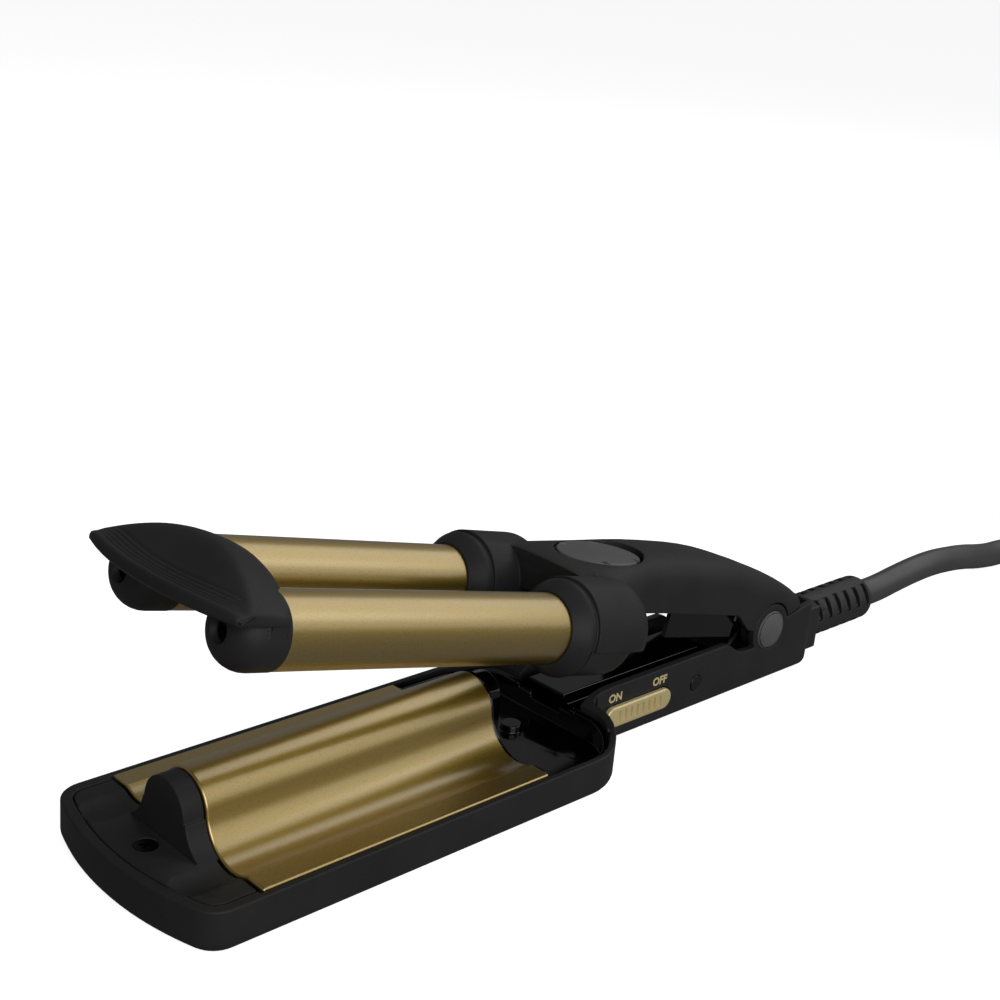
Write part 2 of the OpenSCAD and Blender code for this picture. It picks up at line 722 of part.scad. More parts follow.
// flat two-pin plug lying on its broad side
module plug_body() color(black) hull() {
    for (s = [-1, 1]) {
        bar_x(6.6, plug_x + 16, plug_x + 34, plug_y + s * 10, plug_h, 24);
        bar_x(5.4, plug_x, plug_x + 1, plug_y + s * 1, plug_h, 24);
    }
}

module plug_pins() color(steel) for (s = [-1, 1]) {
    bar_x(2, plug_x + 34, plug_x + 50, plug_y + s * 9.5, plug_h, 32);
    translate([plug_x + 50, plug_y + s * 9.5, plug_h]) sphere(r = 2, $fn = 32);
}

// ---- upper arm, drawn closed ----

// one cross-section of the upper arm: flat sides and a crowned top
shoulder = 7;
function crown(x, w, top, low) = concat([[x, w, low]],
    [for (i = [0:24]) let (a = 7.5 * i)
        [x, w * sign(cos(a)) * pow(abs(cos(a)), 0.6), top - shoulder + shoulder * pow(sin(a), 0.75)]],
    [[x, -w, low]]);

// place, half width and top of each cross-section, from the yoke to the end of the handle
arm_slices = [[-yoke_front, 20, 29.2], [-arm_rear - 6, 18.6, 30.3], [0.5 - arm_rear, 16.6, 31.2],
    [6.5 - arm_rear, 14.6, 32], [12.5 - arm_rear, 13.2, 32.7],
    [-48, 12.5, 33.4], [-31, 12.5, 33.4], [-20, 12.5, 32.7], [-10, 12.5, 31.2], [0, 12.5, 29.4],
    [8, 12.4, 27.3], [12.6, 12, 25.7], [15.4, 11.2, 24.2], [17.1, 9.8, 22.6]];
hollow_slices = [[-60, 13.2, 32.6], [-48, 12.5, 33.4], [-31, 12.5, 33.4], [-15, 12.5, 32],
    [0, 12.5, 29.4], [7, 12.2, 27.6], [12, 11.4, 25.4]];
arm_scale = handle_r / 12.5;

// smooth curve through the slices, in a number of steps between each pair
function between(a, b, c, d, u) =
    b + u / 2 * (c - a + u * (2 * a - 5 * b + 4 * c - d + u * (3 * b - a - 3 * c + d)));
function refined(list, steps) = let (last = len(list) - 1) concat(
    [for (i = [0:last - 1], k = [0:steps - 1]) between(list[max(i - 1, 0)], list[i], list[i + 1],
        list[min(i + 2, last)], k / steps)], [list[last]]);

module arm_body() loft([for (s = refined(arm_slices, 2)) crown(s[0], s[1] * arm_scale, s[2], 13)]);
module arm_hollow() loft([for (s = hollow_slices)
    crown(s[0], s[1] * arm_scale - wall, s[2] - wall, 12)]);

// side view of all that is cut away below the upper arm: round the eye, and clear of the heel
// of the lower casing as that stands when the arms are open
module below_arm() {
    polygon([[-far, 0], [-far, cover_h - 0.4], [-58, cover_h - 0.4], [-17.4, 19.5], [-15.6, 18.9],
        [-14, 17.6], [-10.4, 15.4], [-7, 15.1], [0, 15.1], [0, 0]]);
    translate([0, hinge_h]) {
        circle(r = eye_r + arm_gap, $fn = 96);
        rotate(open_angle) translate([0, arm_gap])
            polygon(concat([[0, -hinge_h]], heel, [[30, 4.2], [30, -hinge_h]]));
    }
}

// one yoke arm: a tube with a domed rear end
dome_len = 5.5;
module yoke_arm(s, r, rear) translate([0, s * barrel_y, barrel_h]) {
    bar_x(r, 1 - arm_front, -rear - dome_len);
    bar_x(r - 0.8, -arm_front, -rear - dome_len);
    translate([-rear - dome_len - eps, 0, 0]) rotate([0, 90, 0]) rotate_extrude($fn = 96)
        polygon(concat([[0, 0]], [for (i = [0:10]) let (a = 9 * i)
            [(r - dome_len) + dome_len * cos(a), dome_len * sin(a)]], [[0, dome_len]]));
}

module yoke_solid(r, rear) for (s = [-1, 1]) yoke_arm(s, r, rear);

module barrel_sockets() for (s = [-1, 1])
    bar_x(barrel_r + fit, -far, socket_x, s * barrel_y, barrel_h, 96);

module upper_casing() color(black) opened() difference() {
    union() {
        difference() {
            arm_body();
            along_y(-far, far) below_arm();
            arm_hollow();
        }
        intersection() {
            yoke_solid(arm_r, arm_rear);
            box([-far, -far, seam_h], [0, far, far]);
        }
        // ears on the pin
        both_sides() {
            bar_y(ear_r, ear_in - ear_t, ear_in, 0, hinge_h);
            box([-ear_r + 0.4, ear_in - ear_t, hinge_h], [ear_r - 1.6, ear_in, ear_top]);
        }
        // bosses for the cover
        for (x = [-46, -20])
            translate([x, 0, cover_h + cover_t + fit]) cylinder(r = boss_r, h = 10, $fn = 40);
    }
    barrel_sockets();
    bar_y(pin_d / 2 + pin_clear, -far, far, 0, hinge_h, 48);
    yoke_screw_holes(shank_r + fit);
    pad_seat();
}

// seat of the oval pad, sunk into the top
module pad_seat() translate([pad_x, 0, pad_h]) rotate([0, pad_slope, 0])
    oval_bar(0.35, -0.9, 8);

// ellipse prism as a polygon of even steps
module oval_bar(grow, low, high) translate([0, 0, low]) linear_extrude(high - low)
    polygon([for (i = [0:47]) [(pad_len / 2 + grow) * cos(7.5 * i), (pad_w / 2 + grow) * sin(7.5 * i)]]);

module oval_pad() color(black) opened() translate([pad_x, 0, pad_h]) rotate([0, pad_slope, 0])
    intersection() {
        oval_bar(0, -0.9, 0.9);
        translate([0, 0, 0.7 - pad_dome]) sphere(r = pad_dome, $fn = 360);
    }

module yoke_cover() color(black) opened() difference() {
    union() {
        intersection() {
            yoke_solid(under_r, arm_rear + 3.5);
            box([-far, -far, 0], [0, far, seam_h]);
        }
        box([-yoke_front, -barrel_y, seam_h - 2.4], [-arm_rear - 3, barrel_y, seam_h]);
    }
    barrel_sockets();
    yoke_screw_holes(shank_r + 0.35);
    for (s = [-1, 1])
        translate([screw_x, s * barrel_y, 0]) cylinder(r = head_r + 0.2, h = head_top, $fn = 40);
}

head_top = 11.4;
module yoke_screw_holes(r) for (s = [-1, 1])
    translate([screw_x, s * barrel_y, 0]) cylinder(r = r, h = seam_h + 7, $fn = 24);

module yoke_screws() color(steel) opened() for (s = [-1, 1])
    translate([screw_x, s * barrel_y, head_top - head_t]) difference() {
        union() {
            cylinder(r = head_r, h = head_t, $fn = 40);
            translate([0, 0, head_t - eps]) cylinder(r = shank_r, h = seam_h + 6.6 - head_top, $fn = 24);
        }
        cross_slot();
    }

// cover inside the handle, over the rail
module arm_cover() color(gloss) opened() {
    box([-59, -handle_r + wall + 0.4, cover_h], [-9.5, handle_r - wall - 0.4, cover_h + cover_t]);
}

module barrel(s) color(gold) opened() difference() {
    bar_x(barrel_r, -barrel_front, socket_x, s * barrel_y, barrel_h, 96);
    bar_x(barrel_r - barrel_wall, -far, 0, s * barrel_y, barrel_h, 96);
}
module barrel_near() barrel(near_side);
module barrel_far() barrel(far_side);

module collar(s) color(black) opened() translate([0, s * barrel_y, barrel_h]) difference() {
    union() {
        translate([-barrel_rear, 0, 0]) rotate([0, 90, 0])
            cylinder(r1 = barrel_r + 0.5, r2 = barrel_r + collar_wall, h = 4, $fn = 96);
        bar_x(barrel_r + collar_wall, 4 - barrel_rear - eps, -arm_front);
    }
    bar_x(barrel_r + fit, -far, 0, 0, 0, 96);
}
module collar_near() collar(near_side);
module collar_far() collar(far_side);

module heater(s) color(steel) opened()
    bar_x(barrel_r - barrel_wall - fit, -barrel_rear - 4.4 - rod_len, -barrel_rear - 4.4,
        s * barrel_y, barrel_h, 64);
module heater_near() heater(near_side);
module heater_far() heater(far_side);

// ---- tip cap ----
tip_half = barrel_y + barrel_r + 0.4;
nose_r = barrel_r + 0.1;
nose_front = 188.2;
nose_round = 6.4;
spigot_len = 8;
lip_low = 21.6;
lip_top = 24.4;
crest_h = 31.4;
crest_fall = 7.2;
tip_seat = 185;
// grooves along the front lip: how many, first one, pitch, width and depth
lip_grooves = 5;
groove_from = 1.5;
groove_step = 0.95;
groove_w = 0.45;
groove_deep = 0.22;

// the visor in plan: front lip, crest and rear edge at a share of its half width, and their heights
function lip_x(t) = -196 + 5 * t * t;
function crest_x(t) = -181.5 - 6 * t * t;
function rear_edge_x(t) = -172.3 - 6.4 * pow(t, 2.2);
function lip_z(t) = lip_top - 0.8 * pow(t, 8);
function crest_z(t) = crest_h - crest_fall * t * t;
function rear_edge_z(t) = 28.8 - 5.3 * pow(t, 1.4);
// top surface: dish from the lip up to the crest, then the crown down to the rear edge
function top_z(t, x) = x < crest_x(t)
    ? let (u = (x - lip_x(t)) / (crest_x(t) - lip_x(t)))
        lip_z(t) + (crest_z(t) - lip_z(t)) * (1 - cos(180 * pow(max(u, 0), 1.35))) / 2
    : let (u = (x - crest_x(t)) / (rear_edge_x(t) - crest_x(t)))
        crest_z(t) - (crest_z(t) - rear_edge_z(t)) * pow(u, 1.6);

// one section of the visor across the plate, drawn in by an inset at the ends
function tip_section(y, inset) = let (
    t = abs(y) / tip_half, front = lip_x(t) + inset, rear = rear_edge_x(t) - inset,
    crest = crest_x(t), deep = groove_deep * max(0, 1 - pow(t * 1.15, 6)),
    dish = front + groove_from + lip_grooves * groove_step * (1 - 0.6 * pow(t, 6)))
    concat([[front + 0.6, y, lip_low + inset], [front, y, lip_low + 0.6 + inset],
        [front, y, lip_z(t) - 0.7 - inset], [front + 0.2, y, lip_z(t) - 0.2 - inset],
        [front + 0.7, y, lip_z(t) - inset]],
    [for (i = [0:lip_grooves - 1], k = [0:3]) let (
        x = front + groove_from
            + (groove_step * i + groove_w * [0, 0.3, 0.7, 1][k]) * (1 - 0.6 * pow(t, 6)))
        [x, y, top_z(t, x) - inset - deep * [0, 1, 1, 0][k]]],
    [for (i = [0:9]) let (x = dish + (crest - dish) * i / 9) [x, y, top_z(t, x) - inset]],
    [for (i = [1:7]) let (x = crest + (rear - 0.4 - crest) * i / 7) [x, y, top_z(t, x) - inset]],
    [[rear, y, rear_edge_z(t) - 0.5 - inset], [rear, y, lip_low + inset]]);
tip_stops = concat([-tip_half, -tip_half + 0.15, -tip_half + 0.5],
    [for (i = [-15:15]) (tip_half - 0.5) * i / 16],
    [tip_half - 0.5, tip_half - 0.15, tip_half]);
function tip_inset(y) = let (d = tip_half - abs(y)) d < 0.1 ? 0.5 : d < 0.4 ? 0.15 : 0;

// round nose in front of a barrel, with a spigot that fits the tube
module nose(side) translate([0, side * barrel_y, barrel_h]) {
    translate([-nose_front, 0, 0]) rotate([0, 90, 0]) rotate_extrude($fn = 96)
        polygon(concat([[0, 0]],
            [for (a = [0:10:90]) [nose_r - nose_round * (1 - sin(a)), nose_round * (1 - cos(a))]],
            [[nose_r, nose_front - barrel_front], [0, nose_front - barrel_front]]));
    bar_x(barrel_r - barrel_wall - fit, -barrel_front - eps, spigot_len - barrel_front);
}

module tip_cap() color(black) opened() difference() {
    union() {
        difference() {
            union() {
                loft([for (y = tip_stops) tip_section(y, tip_inset(y))]);
                // cheeks between the visor and the noses
                both_sides() box([-nose_front + nose_round - 0.4, barrel_y - 5, barrel_h],
                    [-barrel_front - 1.6, barrel_y + nose_r - 0.05, lip_low + 1]);
            }
            // sockets that the tubes reach through below the visor's rear edge
            both_sides() bar_x(barrel_r + fit, -barrel_front, 0, barrel_y, barrel_h, 96);
        }
        for (side = [-1, 1]) nose(side);
    }
    // arch over the plate's ridge and its plug
    bar_x(ridge_r + 1, -plug_front - 1.2, 0, 0, ridge_h, 96);
    box([-plug_front - 1.2, -ridge_r - 1, 0], [0, ridge_r + 1, ridge_h]);
    // bores of the screws and their round mouths
    both_sides() {
        bar_x(shank_r + 0.15, -far, 0, barrel_y, barrel_h, 24);
        bar_x(head_r + 0.25, -far, -tip_seat, barrel_y, barrel_h, 40);
    }
}

module tip_screws() color(steel) opened() for (s = [-1, 1])
    translate([-tip_seat - head_t, s * barrel_y, barrel_h]) rotate([0, 90, 0]) difference() {
        union() {
            cylinder(r = head_r - 0.1, h = head_t, $fn = 40);
            translate([0, 0, head_t - eps])
                cylinder(r = shank_r, h = tip_seat - barrel_front + spigot_len - 1, $fn = 24);
        }
        cross_slot();
    }

// ---- drawing ----
lower_casing();
inner_liner();
wave_plate();
plate_bracket();
nose_cap();
nose_screw();
plate_heater_near();
plate_heater_far();
liner_screws();
switch_body();
indicator_lens();
control_board();
hinge_pin();
pivot_caps();
return_spring();
strain_relief();
power_cord();
cord_coil();
plug_lead();
plug_body();
plug_pins();
switch_slider();
upper_casing();
yoke_cover();
yoke_screws();
arm_cover();
oval_pad();
barrel_near();
barrel_far();
collar_near();
collar_far();
heater_near();
heater_far();
tip_cap();
tip_screws();
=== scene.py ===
"""Hair waver with three round waves: the visible finish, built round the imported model."""

import math

import bmesh
import bpy
from bpy.props import FloatProperty, FloatVectorProperty, IntProperty, PointerProperty
from mathutils import Matrix, Vector


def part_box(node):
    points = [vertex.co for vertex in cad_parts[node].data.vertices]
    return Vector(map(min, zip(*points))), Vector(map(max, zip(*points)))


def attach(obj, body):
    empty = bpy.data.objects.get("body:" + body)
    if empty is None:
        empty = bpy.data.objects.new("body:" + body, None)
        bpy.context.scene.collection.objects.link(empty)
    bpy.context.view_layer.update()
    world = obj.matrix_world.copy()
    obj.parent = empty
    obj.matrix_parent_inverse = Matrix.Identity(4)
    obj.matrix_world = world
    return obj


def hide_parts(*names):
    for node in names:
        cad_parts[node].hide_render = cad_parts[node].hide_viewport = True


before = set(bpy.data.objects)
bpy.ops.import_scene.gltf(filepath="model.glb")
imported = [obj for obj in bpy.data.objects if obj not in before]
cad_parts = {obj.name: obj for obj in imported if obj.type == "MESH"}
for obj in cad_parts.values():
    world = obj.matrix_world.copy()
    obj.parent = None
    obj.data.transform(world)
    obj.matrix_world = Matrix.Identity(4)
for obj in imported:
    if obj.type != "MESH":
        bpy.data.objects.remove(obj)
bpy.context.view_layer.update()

bl_info = {
    "name": "Hair Waver",
    "version": (1, 0, 0),
    "blender": (4, 5, 0),
    "location": "3D View > Sidebar > Waver",
    "description": "Builds the finish of a hair waver round its packed model",
    "category": "Object",
}

MM = 0.001
# the hinge axis, and the turn about it from the closed upper arm to the open one
HINGE = Vector((0, 0, 0.0155))
OPEN_TURN = math.radians(13.6)
# points closer than this are one point, and faces that bend by less are one face
JOIN = 0.002 * MM
FLAT = math.radians(0.5)


def linear(hex_colour):
    """A colour written as sRGB hex, as linear red, green and blue."""
    parts = [int(hex_colour[i : i + 2], 16) / 255 for i in (1, 3, 5)]
    return tuple(c / 12.92 if c <= 0.04045 else ((c + 0.055) / 1.055) ** 2.4 for c in parts)


def colour(name, description, hex_colour):
    """A colour that a user can change."""
    return FloatVectorProperty(
        name=name, description=description, subtype="COLOR", default=linear(hex_colour), min=0, max=1
    )


def length(name, description, millimetres):
    """A length that a user can change."""
    return FloatProperty(
        name=name, description=description, unit="LENGTH", default=millimetres * MM, min=0, precision=4
    )


class WaverColours(bpy.types.PropertyGroup):
    """Colours of the finishes"""

    casing: colour("Casing", "Satin black of the mouldings", "#282829")
    gloss: colour("Gloss parts", "Polished black of the basin", "#040404")
    gold: colour("Gold", "Satin gold of the plate and barrels", "#AA8C20")
    button: colour("Button", "Gold paint of the slide switch", "#D6C592")
    rubber: colour("Rubber", "Black of the strain relief", "#1C1C1D")
    cord: colour("Cord", "Black of the lead and plug", "#404041")


class WaverSizes(bpy.types.PropertyGroup):
    """Sizes of what the finish adds"""

    barrel_radius: length("Barrel radius", "Outside radius of a barrel", 8)
    barrel_offset: length("Barrel offset", "Distance of a barrel's axis from the middle", 17)
    barrel_height: length("Barrel height", "Height of the barrel axes when closed", 18.2)
    barrel_rear: length("Barrel end", "Distance from the hinge to the collars", 97.6)
    cord_diameter: length("Cord diameter", "Diameter of the mains lead", 8)
    cord_steps: IntProperty(
        name="Cord steps", description="How finely the round section of the lead is stepped", default=8, min=2
    )


def sizes():
    return bpy.context.scene.waver_sizes


def colours():
    return bpy.context.scene.waver_colours


# ---- materials ----

# how far a grain moves the roughness each way, and the size of the soft clouds in a colour, in mm
ROUGHNESS_SWING = 0.05
CLOUD_MM = 14


def add_node(tree, kind, inputs=None, **settings):
    """Adds a node, applies its settings, and gives its inputs values or other nodes' outputs."""
    node = tree.nodes.new(kind)
    for name, value in settings.items():
        setattr(node, name, value)
    for name, value in (inputs or {}).items():
        if isinstance(value, bpy.types.NodeSocket):
            tree.links.new(value, node.inputs[name])
        else:
            node.inputs[name].default_value = value
    return node


def new_material(name):
    """An empty node material and its tree."""
    material = bpy.data.materials.new(name)
    material.use_nodes = True
    material.node_tree.nodes.clear()
    return material, material.node_tree


def ramp(tree, factor, stops):
    """A colour ramp with the given places and colours."""
    node = add_node(tree, "ShaderNodeValToRGB", {"Fac": factor})
    band = node.color_ramp
    while len(band.elements) < len(stops):
        band.elements.new(0.5)
    for element, (position, value) in zip(band.elements, stops):
        element.position = position
        element.color = (*value, 1)
    return node


def shade(colour_value, share):
    """A colour made lighter or darker."""
    return tuple(min(1, c * share) for c in colour_value)


def noise(tree, coordinates, size, detail):
    """Noise with a grain of the given size in millimetres, on coordinates in metres."""
    inputs = {"Vector": coordinates, "Scale": 1 / (size * MM), "Detail": detail}
    return add_node(tree, "ShaderNodeTexNoise", inputs).outputs["Fac"]


def surface(tree, tone, rough, height, depth_mm, **shader):
    """The shader of a finish: its colour, its roughness, and a bump of the given depth."""
    bump = add_node(tree, "ShaderNodeBump", {"Height": height, "Strength": 1.0, "Distance": depth_mm * MM})
    inputs = {
        "Base Color": tone.outputs["Color"],
        "Roughness": rough.outputs["Result"],
        "Normal": bump.outputs["Normal"],
    }
    inputs.update({name.replace("_", " "): value for name, value in shader.items()})
    shine = add_node(tree, "ShaderNodeBsdfPrincipled", inputs)
    add_node(tree, "ShaderNodeOutputMaterial", {"Surface": shine.outputs["BSDF"]})


def grained(name, base, roughness, grain_mm, depth_mm, tint=0.12, **shader):
    """A surface with a fine grain in its bump and roughness, and soft clouds in its colour."""
    material, tree = new_material(name)
    coordinates = add_node(tree, "ShaderNodeTexCoord").outputs["Object"]
    grain = noise(tree, coordinates, grain_mm, 2.0)
    cloud = noise(tree, coordinates, CLOUD_MM, 3.0)
    tone = ramp(tree, cloud, [(0.3, shade(base, 1 - tint)), (0.7, shade(base, 1 + tint))])
    swing = {"Value": grain, "To Min": roughness - ROUGHNESS_SWING, "To Max": roughness + ROUGHNESS_SWING}
    rough = add_node(tree, "ShaderNodeMapRange", swing)
    surface(tree, tone, rough, grain, depth_mm, **shader)
    return material


def anodised_gold(name, base):
    """Satin gold anodised aluminium: drawn along X and blasted, under its clear oxide."""
    material, tree = new_material(name)
    coordinates = add_node(tree, "ShaderNodeTexCoord").outputs["Object"]
    # dark specks from the blasting, 0.3 mm, as coarse as they need to be to show
    speck = noise(tree, coordinates, 0.3, 1.0)
    # marks of the drawing, 0.5 mm wide and fifty times as long, which streak the shine
    drawn_out = add_node(tree, "ShaderNodeMapping", {"Vector": coordinates, "Scale": (0.02, 1, 1)})
    streak = noise(tree, drawn_out.outputs["Vector"], 0.5, 2.0)
    tone = ramp(tree, speck, [(0.30, shade(base, 0.72)), (0.42, base), (0.75, shade(base, 1.06))])
    rough = add_node(tree, "ShaderNodeMapRange", {"Value": streak, "To Min": 0.38, "To Max": 0.46})
    # the oxide gives a second, sharper shine over the metal's own
    oxide = {"Coat_Weight": 1.0, "Coat_Roughness": 0.26, "Coat_IOR": 2.2}
    surface(tree, tone, rough, speck, 0.012, Metallic=1.0, **oxide)
    return material


MATERIALS = {}


def make_materials():
    """Every finish of the waver, by a maker's plain name."""
    c = colours()
    casing, gloss, gold = tuple(c.casing), tuple(c.gloss), tuple(c.gold)
    button, rubber, cord = tuple(c.button), tuple(c.rubber), tuple(c.cord)
    lacquer_and_sheen, smoke, zinc = linear("#5A5A5B"), linear("#0C0B0C"), linear("#242426")
    bright, milled = linear("#B9B9BC"), linear("#C4C6C8")
    green, nickel = linear("#1E5A34"), linear("#C9C3B4")
    MATERIALS.update(
        # ABS, spark-eroded mould: satin black with a soft wide highlight
        casing=grained(
            "moulded_satin_abs",
            casing,
            roughness=0.5,
            grain_mm=0.45,
            depth_mm=0.012,
            Specular_IOR_Level=0.16,
        ),
        # the same ABS under a soft-touch lacquer: a lighter, duller black, which on the pivot caps is painted
        # highlight standing in for the sheen on their black domes
        pad=grained(
            "soft_touch_lacquer_and_painted_sheen",
            lacquer_and_sheen,
            roughness=0.5,
            grain_mm=0.35,
            depth_mm=0.008,
            Specular_IOR_Level=0.3,
        ),
        # ABS from a polished mould: deep black with sharp reflections
        gloss=grained("moulded_gloss_abs", gloss, roughness=0.11, grain_mm=3.0, depth_mm=0.004, tint=0.05),
        # anodised aluminium: bright bands along the length
        gold=anodised_gold("anodised_aluminium_gold", gold),
        # painted ABS: light satin gold
        button=grained(
            "painted_abs_gold", button, roughness=0.34, grain_mm=0.3, depth_mm=0.004, tint=0.04, Metallic=0.35
        ),
        # pad-printed ink: flat gold lettering
        ink=grained(
            "printed_ink_gold", button, roughness=0.5, grain_mm=0.3, depth_mm=0.002, tint=0.04, Metallic=0.2
        ),
        # moulded rubber: soft dull black
        rubber=grained("moulded_rubber", rubber, roughness=0.58, grain_mm=0.5, depth_mm=0.015),
        # extruded PVC: black sheath with a soft shine
        sheath=grained("extruded_pvc", cord, roughness=0.4, grain_mm=0.6, depth_mm=0.01),
        # tinted polycarbonate: dark lens with sharp reflections
        lens=grained("tinted_polycarbonate", smoke, roughness=0.12, grain_mm=2.0, depth_mm=0.002, tint=0.05),
        # steel with black zinc: dull metal
        screw=grained("black_zinc_steel", zinc, roughness=0.36, grain_mm=0.3, depth_mm=0.006, Metallic=1.0),
        # bright spring steel: sharp grey shine
        steel=grained(
            "bright_steel", bright, roughness=0.25, grain_mm=0.3, depth_mm=0.004, tint=0.05, Metallic=1.0
        ),
        # machined aluminium: pale satin metal
        block=grained(
            "machined_aluminium", milled, roughness=0.38, grain_mm=0.5, depth_mm=0.01, tint=0.06, Metallic=1.0
        ),
        # glass-epoxy board with solder lacquer: even green with a soft shine
        board=grained("lacquered_glass_epoxy", green, roughness=0.35, grain_mm=0.4, depth_mm=0.008),
        # nickel-plated brass: warm bright metal
        pins=grained(
            "nickel_plated_brass",
            nickel,
            roughness=0.2,
            grain_mm=0.4,
            depth_mm=0.003,
            tint=0.04,
            Metallic=1.0,
        ),
    )


# ---- mesh helpers ----

# sides of a turned body
SIDES = 128


def place(bm, *ways):
    """Moves a whole mesh by each of the given matrices in turn."""
    for way in ways:
        bmesh.ops.transform(bm, matrix=way, verts=bm.verts)


def opened():
    """The turn that opens the closed upper arm about the hinge."""
    return Matrix.Translation(HINGE) @ Matrix.Rotation(OPEN_TURN, 4, "Y") @ Matrix.Translation(-HINGE)


def arc(cx, cy, radius, start, end, steps):
    """Points of an arc in a plane, in millimetres and degrees."""
    turns = [math.radians(start + (end - start) * i / steps) for i in range(steps + 1)]
    return [(cx + radius * math.cos(a), cy + radius * math.sin(a)) for a in turns]


def turned(outline):
    """A closed round body: an outline (along, radius) in millimetres, spun about the X axis."""
    bm = bmesh.new()
    verts = [bm.verts.new(Vector((x, 0, r)) * MM) for x, r in outline]
    edges = [bm.edges.new(pair) for pair in zip(verts, verts[1:])]
    bmesh.ops.spin(
        bm,
        geom=edges + verts,
        cent=(0, 0, 0),
        axis=(1, 0, 0),
        angle=math.tau,
        steps=SIDES,
        use_merge=True,
    )
    bmesh.ops.remove_doubles(bm, verts=bm.verts, dist=JOIN)
    bmesh.ops.recalc_face_normals(bm, faces=bm.faces)
    return bm


def add_block(bm, size, middle, way=Matrix()):
    """Adds a block to a mesh, its size and middle in millimetres, and moves it by a matrix."""
    corners = bmesh.ops.create_cube(bm, size=1)["verts"]
    fit = Matrix.Diagonal((*(Vector(size) * MM), 1))
    spot = Matrix.Translation(Vector(middle) * MM)
    bmesh.ops.transform(bm, matrix=way @ spot @ fit, verts=corners)


def copy_of(node):
    """A CAD node's shape as a mesh to work on, its loose triangles joined."""
    bm = bmesh.new()
    bm.from_mesh(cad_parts[node].data)
    bmesh.ops.remove_doubles(bm, verts=bm.verts, dist=JOIN)
    return bm


def join_flats(bm):
    """Joins the triangles of each flat face, so that only real edges get rounded."""
    bmesh.ops.dissolve_limit(bm, angle_limit=FLAT, verts=bm.verts, edges=bm.edges, delimit={"NORMAL"})


def add_piece(bm, name, body, material, slot, nodes=(), sharp=35, bevel=0.0, segments=3):
    """Turns a mesh into a finished piece that rides on a body and stands for CAD nodes."""
    mesh = bpy.data.meshes.new(name)
    bm.to_mesh(mesh)
    bm.free()
    mesh.shade_smooth()
    mesh.set_sharp_from_angle(angle=math.radians(sharp))
    piece = bpy.data.objects.new(name, mesh)
    bpy.context.scene.collection.objects.link(piece)
    mesh.materials.append(MATERIALS[material])
    if bevel:
        edge = piece.modifiers.new("edges", "BEVEL")
        edge.width, edge.segments, edge.limit_method = bevel * MM, segments, "ANGLE"
        edge.angle_limit = math.radians(sharp)
        edge.use_clamp_overlap = False
        edge.harden_normals = True
    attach(piece, body)
    if nodes:
        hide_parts(*nodes)
    return piece


def moulded(node, body, material, slot, name=None, **edges):
    """A moulding's own shape, with its edges rounded as asked."""
    bm = copy_of(node)
    join_flats(bm)
    return add_piece(bm, name or node + "_moulding", body, material, slot, [node], **edges)


def drawn_in(node, scale, body, material, slot, name, bevel):
    """A moulding drawn in a little round its middle, so that the dark gap round it shows."""
    bm = copy_of(node)
    low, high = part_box(node)
    middle = (Vector(low) + Vector(high)) / 2
    place(bm, Matrix.Translation(-middle), Matrix.Diagonal((*scale, 1)), Matrix.Translation(middle))
    join_flats(bm)
    add_piece(bm, name, body, material, slot, [node], bevel=bevel)


def carry_over(material, *nodes):
    """Gives CAD nodes whose shape is right their finish."""
    for node in nodes:
        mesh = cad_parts[node].data
        mesh.materials.clear()
        mesh.materials.append(MATERIALS[material])


# ---- operators ----


